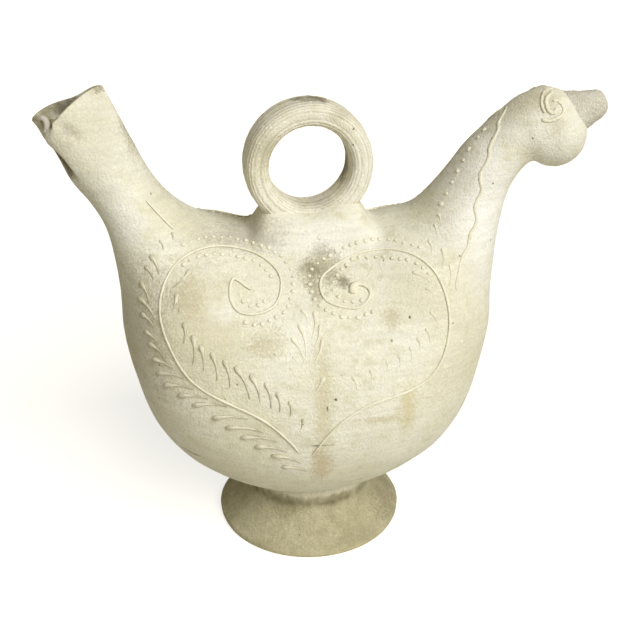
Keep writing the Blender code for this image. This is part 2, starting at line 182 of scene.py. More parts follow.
def makeClay(name):
    look, rule = clayLooks[name], clayRule
    made = bpy.data.materials.new(name)
    tree = emptyTree(made)
    soft = dict(interpolation_type="SMOOTHSTEP")
    blend = dict(out=2, data_type="RGBA", blend_type="MIX")
    here = add(tree, "ShaderNodeTexCoord", out="Object")
    level = add(tree, "ShaderNodeVectorMath", {0: here, 1: rule["wipeStretch"]}, operation="MULTIPLY")
    seen = {}
    for kind, (detail, rough) in rule["noises"].items():
        size = rule["wipeSize"] if kind == "wipe" else look[kind]
        seen[kind] = add(tree, "ShaderNodeTexNoise", {
            "Vector": level if kind == "wipe" else here, "Scale": 1 / (size * mm), "Detail": detail,
            "Roughness": rough}, out="Fac")
    mottle = seen["mottle"]
    fine = add(tree, "ShaderNodeMapRange", {"Value": seen["grit"], **rule["gritShows"]}, **soft)

    # cloudy ground, warm patches and small flecks
    colour = tone(look["pale"])
    for kind, tint, shows in rule["patches"]:
        patch = add(tree, "ShaderNodeMapRange", {"Value": seen[kind], **shows}, **soft)
        colour = add(tree, "ShaderNodeMix", {0: patch, 6: colour, 7: tone(look[tint])}, **blend)

    # stains and painted shade, with ragged, speckled edges
    ragged = add(tree, "ShaderNodeMath", {0: mottle, 1: rule["markMottle"], 2: rule["markShift"]},
                 operation="MULTIPLY_ADD")
    ragged = add(tree, "ShaderNodeMath", {0: seen["grit"], 1: rule["markGrit"], 2: ragged},
                 operation="MULTIPLY_ADD")
    for mark in look["stainsAndShade"]:
        away = add(tree, "ShaderNodeVectorMath", {0: here, 1: mark["at"]}, operation="SUBTRACT")
        away = add(tree, "ShaderNodeVectorMath", {0: away, 1: mark["size"]}, operation="DIVIDE")
        reach = add(tree, "ShaderNodeVectorMath", {0: away}, out="Value", operation="LENGTH")
        reach = add(tree, "ShaderNodeMath", {0: reach, 1: ragged}, operation="ADD")
        amount = add(tree, "ShaderNodeMapRange", {
            "Value": reach, **rule["markShows"], "To Max": mark["force"]}, **soft)
        colour = add(tree, "ShaderNodeMix", {0: amount, 6: colour, 7: mark["colour"]}, **blend)

    # a few dark pits
    cells = {"Vector": here, "Scale": 1 / (rule["pitCell"] * mm)}
    chance = add(tree, "ShaderNodeSeparateColor", {0: add(tree, "ShaderNodeTexVoronoi", cells, out="Color")})
    picked = add(tree, "ShaderNodeMapRange", {"Value": chance, **rule["pitChance"]})
    middle = add(tree, "ShaderNodeTexVoronoi", cells, out="Distance")
    pit = add(tree, "ShaderNodeMapRange", {"Value": middle, **rule["pitShows"], "To Max": picked}, **soft)
    patch = add(tree, "ShaderNodeMath", {0: pit, 1: look["pits"]}, operation="MULTIPLY")
    colour = add(tree, "ShaderNodeMix", {0: patch, 6: colour, 7: tone(look["grime"])}, **blend)

    # dirt and painted shade that the piece itself marks, then wipe marks and grain
    marked = add(tree, "ShaderNodeAttribute", out="Fac", attribute_name="grime")
    darkAmount = add(tree, "ShaderNodeMapRange", {"Value": mottle, **rule["dirtAndShadeShows"], "To Max": marked}, **soft)
    colour = add(tree, "ShaderNodeMix", {0: darkAmount, 6: colour, 7: tone(look["grime"])}, **blend)
    streak = add(tree, "ShaderNodeMapRange", {
        "Value": seen["wipe"], **rule["wipeShows"], "To Min": 1 - rule["wipeDark"] * look["wipes"],
        "To Max": 1 + rule["wipePale"] * look["wipes"]})
    colour = add(tree, "ShaderNodeVectorMath", {0: colour, 1: streak}, operation="MULTIPLY")
    dark, bright = look["speckle"]
    grain = add(tree, "ShaderNodeMapRange", {"Value": fine, "To Min": dark, "To Max": bright})
    colour = add(tree, "ShaderNodeVectorMath", {0: colour, 1: grain}, operation="MULTIPLY")

    height = add(tree, "ShaderNodeMath", {0: mottle, 1: rule["mottleHeight"], 2: fine},
                 operation="MULTIPLY_ADD")
    height = add(tree, "ShaderNodeMath", {0: height, 1: pit}, operation="SUBTRACT")
    relief = add(tree, "ShaderNodeBump", {"Height": height, "Strength": 1.0, "Distance": look["bump"] * mm})
    shader = add(tree, "ShaderNodeBsdfPrincipled", {
        "Base Color": colour, "Normal": relief, "Roughness": rule["roughness"],
        "Specular IOR Level": rule["gloss"]})
    add(tree, "ShaderNodeOutputMaterial", {"Surface": shader})
    return made


clay = {name: makeClay(name) for name in clayLooks}
print("materials", len(clay))

# shared helpers for meshes


def place(item, material, nodes):  # finished piece: tied to the pot, with the nodes it stands for hidden
    if not item.data.materials:
        item.data.materials.append(material)
    for face in item.data.polygons:
        face.use_smooth = True
    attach(item, "root")
    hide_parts(*nodes)
    return item


def spline(rows, steps):  # smooth curve through every row
    rows = np.asarray(rows, float)
    padded = np.vstack([rows[:1], rows, rows[-1:]])
    t = np.arange(steps)[:, None] / steps
    made = []
    for k in range(len(rows) - 1):
        a, b, c, d = padded[k:k + 4]
        second, third = 2 * a - 5 * b + 4 * c - d, 3 * b - a - 3 * c + d
        made.append(b + 0.5 * ((c - a) * t + second * t ** 2 + third * t ** 3))
    return np.vstack(made + [rows[-1:]])


def soften(rows, width):  # evens out the rows along their first axis, ends kept
    reach = int(width * 3)
    weights = np.exp(-0.5 * (np.arange(-reach, reach + 1) / width) ** 2)
    weights /= weights.sum()
    flat = rows.reshape(len(rows), -1)
    before = 2 * flat[0] - flat[1:reach + 1][::-1]
    after = 2 * flat[-1] - flat[-reach - 1:-1][::-1]
    long = np.vstack([before, flat, after])
    made = sum(w * long[k:k + len(flat)] for k, w in enumerate(weights))
    return made.reshape(rows.shape)


def rolling(grid, sizes, amounts, seed):  # hand-made unevenness at each point of a grid, in millimetres
    points = grid.reshape(-1, 3)
    total = np.zeros(len(points))
    shift = Vector((seed, seed * 2, seed * 3))
    for size, amount in zip(sizes, amounts):
        total += [amount * noise.noise(Vector(p) / size + shift) for p in points]
    return total.reshape(grid.shape[:2])


def around(sides):  # the angles of a ring's points
    return np.arange(sides) * 2 * math.pi / sides


def gridNormals(grid):  # outward directions of a grid of rows that close on themselves
    along = np.gradient(grid, axis=0)
    across = np.roll(grid, -1, axis=1) - np.roll(grid, 1, axis=1)
    normal = np.cross(along, across)
    normal /= np.linalg.norm(normal, axis=2, keepdims=True) + 1e-12
    centre = grid.mean(axis=1, keepdims=True)
    if ((grid - centre) * normal).sum() < 0:
        normal = -normal
    return normal


def meshFromRows(name, grid, firstPole=None, lastPole=None, loop=False, marks=None):
    rows, sides = grid.shape[:2]
    points = [tuple(p * mm) for p in grid.reshape(-1, 3)]
    faces = []
    for r in range(rows if loop else rows - 1):
        here, there = r * sides, (r + 1) % rows * sides
        for s in range(sides):
            n = (s + 1) % sides
            faces.append((here + s, here + n, there + n, there + s))
    for pole, base, flip in ((firstPole, 0, True), (lastPole, (rows - 1) * sides, False)):
        if pole is None:
            continue
        points.append(tuple(np.asarray(pole) * mm))
        for s in range(sides):
            pair = (base + s, base + (s + 1) % sides)
            faces.append((pair[::-1] if flip else pair) + (len(points) - 1,))
    mesh = bpy.data.meshes.new(name)
    mesh.from_pydata(points, [], faces)
    mesh.calc_loop_triangles()
    corners = np.array(points)[[t.vertices[:] for t in mesh.loop_triangles]]
    if np.einsum("ij,ij->", corners[:, 0], np.cross(corners[:, 1], corners[:, 2])) < 0:
        mesh.flip_normals()  # the volume came out negative: faces look inwards
    if marks is not None:
        layer = mesh.attributes.new("grime", "FLOAT", "POINT")
        values = np.zeros(len(points), np.float32)
        values[:marks.size] = marks.reshape(-1)
        layer.data.foreach_set("value", values)
    return newItem(name, mesh)


# the pot's wall: one continuous skin from tail mouth over the belly to the head

skin = dict(
    x=-12.6, halfLength=116.0, halfDepth=88.0, bottom=28.0, widest=142.0, fullness=0.93, flankRise=1.0,
    back=207.5, spread=0.55, liftTail=0.0027, liftNeck=0.0028, fan=range(-120, 121, 30),
    # sections: top x, top z, bottom x, bottom z, half depth, taper of the top
    tail=((-129, 301.2, -170.5, 280.8, 19, 0.95), (-115.5, 271, -156, 250.3, 21, 0.25),
          (-100.5, 237.8, -134.4, 219.4, 24, 0)),
    neck=((70.5, 238, 108, 209, 27, 0), (86.5, 260, 112.5, 233.5, 21, 0),
          (105.6, 278.4, 123.6, 248.5, 19.5, 0)),
    head=((116.5, 287.6, 132.6, 245.2, 22, 0), (131.5, 293.2, 140.5, 244.1, 23, 0)),
    headLength=22.3, headWay=(1.0, 0, 0), steps=20, sides=192, evenRows=5, evenSkin=2, closing=16,
    wall=6.0, innerEvery=4, uneven=dict(sizes=(60, 22, 7), amounts=(0.9, 0.45, 0.12), seed=3),
    # painted shade: the wall is darkened in the tail's crease, along its joint with the foot and all over the
    # inside of the mouth
    foldShade=2.8, footJointShade=0.5, footJoint=33, footJointWide=3.0, insideShade=0.75,
)
# the tail's mouth from root (0) to lip (1): how far its fold turns to the front and how deep it is, then
# how the top narrows, the lip dips in front and the top corner is rounded off
mouth = dict(
    foldTurn=((0, 0.7), (0.5, 0.7), (0.58, 0.62), (0.66, 0.5), (0.75, 0.3), (0.84, 0.3), (0.92, 0.68),
              (1, 0.87)),
    foldDepth=((0.42, 0), (0.47, 0.1), (0.54, 0.38), (0.62, 0.46), (0.69, 0.28), (0.75, 0.08), (0.82, 0.05),
               (0.87, 0.12), (0.93, 0.42), (1, 0.5)),
    foldWide=0.5, foldSharp=0.13, taperCurve=1.2, backPinch=2.3, pinchCurve=2.4, pinchSlope=1.6,
    thinnest=0.03, frontDip=5.0, dipPlace=1.0, dipWide=0.6, dipStart=0.6, cornerDip=2.0, cornerWide=0.45,
    lipWall=3.2, lipSteps=8, lipRound=0.8, lipReach=3, evenLip=12,
)
thumb = dict(at=(-148, 277.6), way=(0.763, -0.648), long=9.0, wide=3.4, deep=1.6)
saddle = dict(x=-9.7, rise=20.5, length=34.2, depth=26.0, endCurve=8, sideCurve=4, above=190,
              hole=26.8, holeX=-11.6, holeZ=250.5, holeArc=0.8, face=12.0, lean=0.4, thinnest=0.01)


def bellySection(angle):
    turn = math.radians(angle)
    reach = skin["spread"] * angle
    lift = skin["liftNeck"] if angle > 0 else skin["liftTail"]
    top = (skin["x"] + reach, skin["back"] + lift * reach * reach)
    if abs(angle) <= 90:
        drop = (skin["widest"] - skin["bottom"]) * math.cos(turn) ** skin["fullness"]
        low = (skin["x"] + skin["halfLength"] * math.sin(turn), skin["widest"] - drop)
    else:
        low = (skin["x"] + math.copysign(skin["halfLength"], angle),
               skin["widest"] + skin["flankRise"] * (abs(angle) - 90))
    return (*top, *low, skin["halfDepth"] * math.cos(turn / 2), 0)


def skinGrid(rows, tailness, shrink):  # rings of points along the pot, its head end and the fold's depth
    top = np.stack([rows[:, 0], 0 * rows[:, 0], rows[:, 1]], 1)
    low = np.stack([rows[:, 2], 0 * rows[:, 0], rows[:, 3]], 1)
    centre = (top + low) / 2
    half = np.linalg.norm(top - low, axis=1) / 2
    up = (top - low) / (2 * half[:, None])
    ahead = np.stack([up[:, 2], 0 * up[:, 0], -up[:, 0]], 1)
    depth = rows[:, 4]
    angle = around(skin["sides"])
    away = angle[None, :] - (math.pi + np.interp(tailness, *zip(*mouth["foldTurn"])))[:, None]
    width = np.where(away < 0, mouth["foldWide"], mouth["foldSharp"])
    fold = np.interp(tailness, *zip(*mouth["foldDepth"]))[:, None] * np.exp(-(away / width) ** 2)
    height = (1 + np.cos(angle)) / 2
    narrow = 1 - rows[:, 5][:, None] * height ** mouth["taperCurve"]
    nearLip = np.clip(tailness * mouth["pinchSlope"] - (mouth["pinchSlope"] - 1), 0, 1)[:, None]
    pinch = nearLip * mouth["backPinch"] * height ** mouth["pinchCurve"]
    narrow = narrow * np.where(np.sin(angle) > 0, np.maximum(1 - pinch, mouth["thinnest"]), 1)
    sag = np.exp(-((angle - math.pi - mouth["dipPlace"]) / mouth["dipWide"]) ** 2) * mouth["frontDip"]
    fromTop = np.minimum(angle, 2 * math.pi - angle)
    sag += np.exp(-(fromTop / mouth["cornerWide"]) ** 2) * mouth["cornerDip"]
    sag = np.clip((tailness - mouth["dipStart"]) / (1 - mouth["dipStart"]), 0, 1)[:, None] ** 2 * sag

    def ringAt(centre, half, depth, k):
        u = half[:, None] * np.cos(angle) * (1 - fold[k])
        y = depth[:, None] * np.sin(angle) * (1 - fold[k]) * narrow[k]
        lowered = ahead[k][:, None] * sag[k][..., None]
        flat = centre[:, None] + up[k][:, None] * u[..., None]
        return flat + np.array([0, 1.0, 0]) * y[..., None] + lowered

    grid = ringAt(centre, half - shrink, depth - shrink, slice(None))
    t = np.linspace(0, math.pi / 2, skin["closing"] + 1)[1:-1]
    k = np.full(len(t), -1)
    facing = np.array(skin["headWay"])
    length = skin["headLength"] - shrink[-1]
    ends = centre[k] + facing * (length * np.sin(t))[:, None]
    cap = ringAt(ends, (half - shrink)[k] * np.cos(t), (depth - shrink)[k] * np.cos(t), k)
    pole = centre[-1] + facing * length
    return np.vstack([grid, cap]), pole, fold


def raiseSaddle(outer):  # pad of clay that beds the ring, kept clear of its hole
    x, y, z = (outer[..., axis] for axis in range(3))
    far = (np.abs(x - saddle["x"]) / saddle["length"]) ** saddle["endCurve"]
    far = far + (np.abs(y) / saddle["depth"]) ** saddle["sideCurve"]
    lift = saddle["rise"] * np.exp(-far) * (z > saddle["above"])
    across = np.clip((x - saddle["holeX"]) / saddle["hole"], -saddle["holeArc"], saddle["holeArc"])
    cap = saddle["holeZ"] - saddle["hole"] * np.sqrt(1 - across ** 2)
    cap -= saddle["lean"] * np.maximum(np.abs(y) - saddle["face"], 0)
    raised = -np.logaddexp(-(z + lift), -cap)
    outer[..., 2] = np.where(lift > saddle["thinnest"], raised, z)


def pressThumb(outer, normal):  # dent of a thumb on the front of the tail
    aside = outer[..., (0, 2)] - np.array(thumb["at"])
    along = aside @ np.array(thumb["way"])
    across = aside @ np.array([-thumb["way"][1], thumb["way"][0]])
    press = np.exp(-(along / thumb["long"]) ** 2 - (across / thumb["wide"]) ** 2) * (outer[..., 1] < 0)
    outer -= normal * (thumb["deep"] * press)[..., None]


def roundLip(outer, inner):  # half-round edge of the mouth
    outDir = outer[0].mean(0) - outer[mouth["lipReach"]].mean(0)
    outDir /= np.linalg.norm(outDir)
    middle = (outer[0] + inner[0]) / 2
    half = (outer[0] - inner[0]) / 2
    size = np.linalg.norm(half, axis=1, keepdims=True)
    turns = np.linspace(0, math.pi, mouth["lipSteps"])[1:-1]
    made = []
    for t in turns:
        made.append(middle + half * math.cos(t) + outDir * size * math.sin(t) * mouth["lipRound"])
    return np.array(made)


def buildSkin():
    rows = [*skin["tail"], *[bellySection(a) for a in skin["fan"]], *skin["neck"], *skin["head"]]
    rows = soften(spline(rows, skin["steps"]), skin["evenRows"])
    tailness = np.clip(1 - np.arange(len(rows)) / (2 * skin["steps"]), 0, 1)
    outer, pole, fold = skinGrid(rows, tailness, np.zeros(len(rows)))
    outer = soften(outer, skin["evenSkin"])
    normal = gridNormals(outer)
    raiseSaddle(outer)
    pressThumb(outer, normal)
    fade = np.clip(np.arange(len(outer)) / mouth["evenLip"], 0, 1)[:, None]
    outer += normal * (rolling(outer, **skin["uneven"]) * fade)[..., None]
    few = slice(None, None, skin["innerEvery"])
    thickness = np.interp(tailness, (0.5, 1), (skin["wall"], mouth["lipWall"]))
    inner, innerPole = skinGrid(rows[few], tailness[few], thickness[few])[:2]
    grid = np.concatenate([outer[::-1], roundLip(outer, inner), inner])
    # painted shade in the crease, at the joint with the foot and inside the mouth
    foldRows = np.zeros(outer.shape[:2])
    foldRows[:len(rows)] = np.clip(fold * skin["foldShade"], 0, 1)
    joint = np.exp(-((outer[..., 2] - skin["footJoint"]) / skin["footJointWide"]) ** 2)
    marks = np.full(grid.shape[:2], skin["insideShade"])
    marks[:len(outer)] = np.maximum(foldRows, joint * skin["footJointShade"])[::-1]
    return meshFromRows("vesselWall", grid, pole, innerPole, marks=marks)


wallNodes = ("belly", "back", "neck", "head", "tail_spout", "handle_saddle")
wall = place(buildSkin(), clay["wiped cream clay"], wallNodes)
print("vessel wall", len(wall.data.polygons))

# foot: a flared ring

foot = dict(
    x=-12.0, radius=62.5, waist=42.0, height=28.0, edge=4.0, land=9.0, wall=8.0, sides=144,
    # distance out and height: of the standing edge from the radius, of the collar from the waist, of the
    # hollow from the inner wall
    standing=((-1.2, 0.0), (-0.3, 0.5), (0.0, 1.4)),
    collar=((-0.4, 31.0), (-0.6, 34.0), (-1.0, 37.5), (-6, 37.0)),
    hollow=((0, 33.0), (1, 22.0), (7, 9.0)),
    flareSteps=26, flareCurve=1.5, uneven=dict(sizes=(35, 11, 4), amounts=(0.5, 0.25, 0.1), seed=11),
    levelled=3.0, darkAmount=0.35, darkening=0.7, shadeAt=28.5, shadeWide=2.8,
)


def buildFoot():
    f = foot
    profile = [(f["radius"] - f["land"], 0.0)]
    profile += [(f["radius"] + out, z) for out, z in f["standing"]]
    for t in np.linspace(0, 1, f["flareSteps"]):
        flare = (1 - t) ** f["flareCurve"]
        radius = f["waist"] + (f["radius"] - f["waist"]) * flare
        profile.append((radius, f["edge"] + (f["height"] - f["edge"]) * t))
    profile += [(f["waist"] + out, z) for out, z in f["collar"]]
    profile += [(f["waist"] - f["wall"] + out, z) for out, z in f["hollow"]]
    angle = around(f["sides"])
    grid = np.array([[(f["x"] + r * math.cos(a), r * math.sin(a), z) for a in angle] for r, z in profile])
    # dark band under the collar, where the foot narrows into the body: painted shade
    marks = f["darkening"] * np.exp(-((grid[..., 2] - f["shadeAt"]) / f["shadeWide"]) ** 2)
    lift = np.clip(grid[..., 2] / f["levelled"], 0, 1)  # the standing face stays level
    outward = grid - np.array([f["x"], 0, 0])
    outward[..., 2] = 0
    outward /= np.linalg.norm(outward, axis=2, keepdims=True)
    grid += outward * (rolling(grid, **f["uneven"]) * lift - f["darkAmount"] * (1 - lift))[..., None]
    return meshFromRows("flaredFoot", grid, loop=True, marks=marks)


footPiece = place(buildFoot(), clay["foot clay with painted shade"], ("foot",))
print("foot", len(footPiece.data.polygons))

# beak: a gritty knob with the pouring hole

beak = dict(
    root=(138.0, 0, 272.4), tip=(168.6, 0, 283.2), sides=72, steps=4,
    # place between root (0) and tip (1), and radius: outside to the tip, then back down the hole
    outside=((0, 16.8), (0.2, 15.9), (0.38, 14.2), (0.55, 12.1), (0.68, 10.4), (0.8, 9.1), (0.89, 8.0),
             (0.955, 6.7), (0.99, 5.2), (1.0, 3.9)),
    hole=((0.98, 3.05), (0.85, 3.0), (0.6, 3.0)), holeEnd=0.6, holeEven=0.15, holeShade=0.9,
    uneven=dict(sizes=(14, 4, 1.6), amounts=(0.7, 0.35, 0.22), seed=5),
)


def buildBeak():
    root, tip = Vector(beak["root"]), Vector(beak["tip"])
    way = tip - root
    side = Vector((0, 1, 0))
    rise = way.normalized().cross(side) * -1
    turns = [side * math.cos(a) + rise * math.sin(a) for a in around(beak["sides"])]
    outer = spline(beak["outside"], beak["steps"])
    rows = np.vstack([outer, beak["hole"]])
    grid = np.array([[tuple(root + way * t + turn * r) for turn in turns] for t, r in rows])
    normal = gridNormals(grid)
    uneven = rolling(grid, **beak["uneven"])
    uneven[len(outer):] *= beak["holeEven"]
    grid += normal * uneven[..., None]
    # the inside of the pouring hole is darkened: painted shade
    marks = np.zeros(grid.shape[:2])
    marks[len(outer):] = beak["holeShade"]
    return meshFromRows("beakKnob", grid, tuple(root), tuple(root + way * beak["holeEnd"]), marks=marks)


beakPiece = place(buildBeak(), clay["gritty pale clay"], ("beak",))
print("beak", len(beakPiece.data.polygons))

# curl: the end of the folded lip, rolled into the tail mouth; path as x, y, z and radius

curl = dict(
    sides=20, steps=8, darkening=0.25,
    path=((-165.6, -4.1, 281.8, 0.8), (-164.6, -6.1, 283.6, 1.3), (-162.6, -7.3, 284.2, 1.6),
          (-160.8, -7.9, 282.6, 1.75), (-160.6, -8.1, 279.6, 1.75), (-161.6, -7.5, 277.0, 1.5),
          (-162.8, -6.1, 275.2, 0.9)),
)


def buildCurl():
    rows = spline(curl["path"], curl["steps"])
    way = np.gradient(rows[:, :3], axis=0)
    way /= np.linalg.norm(way, axis=1, keepdims=True)
    side = np.cross(way, (0, 1, 0))
    side /= np.linalg.norm(side, axis=1, keepdims=True)
    out = np.cross(side, way)
    angle = around(curl["sides"])[:, None]
    turned = side[:, None] * np.cos(angle) + out[:, None] * np.sin(angle)
    grid = rows[:, None, :3] + turned * rows[:, None, 3:]
    marks = np.full(grid.shape[:2], curl["darkening"])
    return meshFromRows("tailCurl", grid, rows[0, :3], rows[-1, :3], marks=marks)


curlPiece = place(buildCurl(), clay["smoothed pale clay"], ("tail_spout",))
print("tail curl", len(curlPiece.data.polygons))

# rules as node trees: a turned ring, trailed lines and dots


def newTree(name, sockets):  # node tree with named inputs; gives the tree, its inputs and their identifiers
    tree = bpy.data.node_groups.new(name, "GeometryNodeTree")
    names = {}
    for label, kind in sockets.items():
        made = tree.interface.new_socket(label, in_out="INPUT", socket_type="NodeSocket" + kind)
        names[label] = made.identifier
    tree.interface.new_socket("Geometry", in_out="OUTPUT", socket_type="NodeSocketGeometry")
    return tree, tree.nodes.new("NodeGroupInput").outputs, names


def bake(item, tree, names, values, pieceName):  # runs the tree and keeps the plain mesh
    mod = item.modifiers.new("rule", "NODES")
    mod.node_group = tree
    for label, value in values.items():
        mod[names[label]] = value
    graph = bpy.context.evaluated_depsgraph_get()
    mesh = bpy.data.meshes.new_from_object(item.evaluated_get(graph))
    mesh.name = pieceName
    bpy.data.objects.remove(item, do_unlink=True)
    return newItem(pieceName, mesh)


dirtAndShadeLayer = dict(data_type="FLOAT", domain="POINT")  # how every piece stores its dirt and painted shade
ring = dict(
    x=-11.6, height=250.5, radius=31.7, halfThickness=7.3, halfDepth=13.5, turn=5, steps=168, sides=200,
    square=0.62, ripples=22.0, rippleDepth=0.010, rippleDirt=span(-0.5, -1.0, 0.4),
    uneven=0.8, bumpScale=240.0, bumpDetail=4.0,  # bumps about 4 mm apart
)


def ringTree():
    tree, given, names = newTree("turned ring", {
        "Geometry": "Geometry", "Ring Radius": "Float", "Half Thickness": "Float", "Half Depth": "Float",
        "Squareness": "Float", "Groove Count": "Float", "Groove Depth": "Float", "Unevenness": "Float",
        "Clay": "Material"})
    hoop = add(tree, "GeometryNodeCurvePrimitiveCircle", {
        "Resolution": ring["steps"], "Radius": given["Ring Radius"]})
    unit = add(tree, "GeometryNodeCurvePrimitiveCircle", {"Resolution": ring["sides"], "Radius": 1.0})
    spot = add(tree, "GeometryNodeInputPosition")
    parts = add(tree, "ShaderNodeSeparateXYZ", {0: spot}, out=None).outputs

    # grooves run round the profile, and dirt stays in them
    turn = add(tree, "ShaderNodeMath", {0: parts[1], 1: parts[0]}, operation="ARCTAN2")
    turn = add(tree, "ShaderNodeMath", {0: turn, 1: given["Groove Count"]}, operation="MULTIPLY")
    groove = add(tree, "ShaderNodeMath", {0: turn}, operation="SINE")
    swell = add(tree, "ShaderNodeMath", {0: groove, 1: given["Groove Depth"]}, operation="MULTIPLY")
    swell = add(tree, "ShaderNodeMath", {0: 1.0, 1: swell}, operation="ADD")
    deep = add(tree, "ShaderNodeMapRange", {"Value": groove, **ring["rippleDirt"]})
    darkened = add(tree, "GeometryNodeStoreNamedAttribute", {"Geometry": unit, "Name": "grime", "Value": deep},
                **dirtAndShadeLayer)

    # the round profile is squared up and sized
    sized = []
    for part, half in zip(parts, ("Half Thickness", "Half Depth")):
        full = add(tree, "ShaderNodeMath", {0: part}, operation="ABSOLUTE")
        full = add(tree, "ShaderNodeMath", {0: full, 1: given["Squareness"]}, operation="POWER")
        sign = add(tree, "ShaderNodeMath", {0: part}, operation="SIGN")
        for factor in (sign, given[half], swell):
            full = add(tree, "ShaderNodeMath", {0: full, 1: factor}, operation="MULTIPLY")
        sized.append(full)
    shaped = add(tree, "ShaderNodeCombineXYZ", {0: sized[0], 1: sized[1]})
    profile = add(tree, "GeometryNodeSetPosition", {"Geometry": darkened, "Position": shaped})
    swept = add(tree, "GeometryNodeCurveToMesh", {"Curve": hoop, "Profile Curve": profile})

    # uneven from the hand
    bumps = add(tree, "ShaderNodeTexNoise", {
        "Vector": spot, "Scale": ring["bumpScale"], "Detail": ring["bumpDetail"]}, out="Fac")
    push = add(tree, "ShaderNodeMath", {0: bumps, 1: 0.5}, operation="SUBTRACT")
    push = add(tree, "ShaderNodeMath", {0: push, 1: given["Unevenness"]}, operation="MULTIPLY")
    facing = add(tree, "GeometryNodeInputNormal")
    move = add(tree, "ShaderNodeVectorMath", {0: facing, "Scale": push}, operation="SCALE")
    rough = add(tree, "GeometryNodeSetPosition", {"Geometry": swept, "Offset": move})
    solid = add(tree, "GeometryNodeRealizeInstances", {0: rough})
    done = add(tree, "GeometryNodeSetMaterial", {"Geometry": solid, "Material": given["Clay"]})
    add(tree, "NodeGroupOutput", {0: done})
    return tree, names


def buildRing():
    tree, names = ringTree()
    start = newItem("ring start", bpy.data.meshes.new("ring start"))
    made = bake(start, tree, names, {
        "Ring Radius": ring["radius"] * mm, "Half Thickness": ring["halfThickness"] * mm,
        "Half Depth": ring["halfDepth"] * mm, "Squareness": ring["square"], "Groove Count": ring["ripples"],
        "Groove Depth": ring["rippleDepth"], "Unevenness": ring["uneven"] * mm,
        "Clay": clay["handled ring clay"]}, "ringHandle")
    turn = math.radians(ring["turn"])
    for vertex in made.data.vertices:  # the sweep lies flat: stand it up, turn it and set it on the back
        x, z, y = vertex.co
        vertex.co = (x * math.cos(turn) - y * math.sin(turn) + ring["x"] * mm,
                     x * math.sin(turn) + y * math.cos(turn), z + ring["height"] * mm)
    made.data.flip_normals()
    return made


ringPiece = place(buildRing(), clay["handled ring clay"], ("handle_ring",))
print("ring handle", len(ringPiece.data.polygons))

# slip drawing, in millimetres on a plane that leans with the shoulder: x along the pot, w up the plane

scrolls = {
    "tail side": ((-25.5, 44), (-30.5, 51), (-47, 66), (-70, 78), (-89, 92.5), (-101.5, 121.5),
                  (-100.5, 143), (-89.5, 160.5), (-69, 168.5), (-45.5, 163.5), (-32, 149.5), (-34, 134),
                  (-40.5, 128), (-48.5, 126), (-57, 127.5), (-61, 133), (-62, 139.5), (-60.5, 146.5),
                  (-57.5, 147), (-50, 140.5)),
    "neck side": ((-17.5, 42.5), (-4.5, 58), (15, 70.5), (39, 77), (56, 87.5), (64, 106), (64.5, 127.5),
                  (57, 148.5), (40, 161), (16.5, 161), (-3.5, 150.5), (-9, 143.5), (-8.5, 135.5),
                  (-3.5, 130), (12, 126.5), (19.5, 134), (18, 139), (13.5, 141.5), (9.5, 139.5),
                  (9.5, 135.5)),
}
neckWave = ((108, 243), (101.5, 233), (101, 229), (95, 218.5), (95, 214), (92.5, 208.5), (89.5, 204),
            (89.5, 198.5), (90.5, 194), (87, 187.5), (86, 183), (87, 178), (86, 174), (82, 167.5),
            (81, 161.5), (76.5, 155), (74.5, 148), (71.5, 140.5), (70.5, 135.5))
eyeArc = ((135.5, 252), (129.5, 250), (127.5, 248), (125, 242.5), (125, 238), (126, 235))
eyeHook = ((133.5, 249), (128.5, 244.5), (127.5, 241), (128, 237), (129.5, 235), (131.5, 235), (133, 237))
eyeRing = ((131.5, 242), (133.5, 242.5), (135.5, 241), (137.5, 237.5), (136, 233.5), (133, 231.5),
           (128, 230), (124, 231.5))
tailStroke = ((-108, 196), (-99.5, 186), (-93, 179))  # lone stroke below the tail
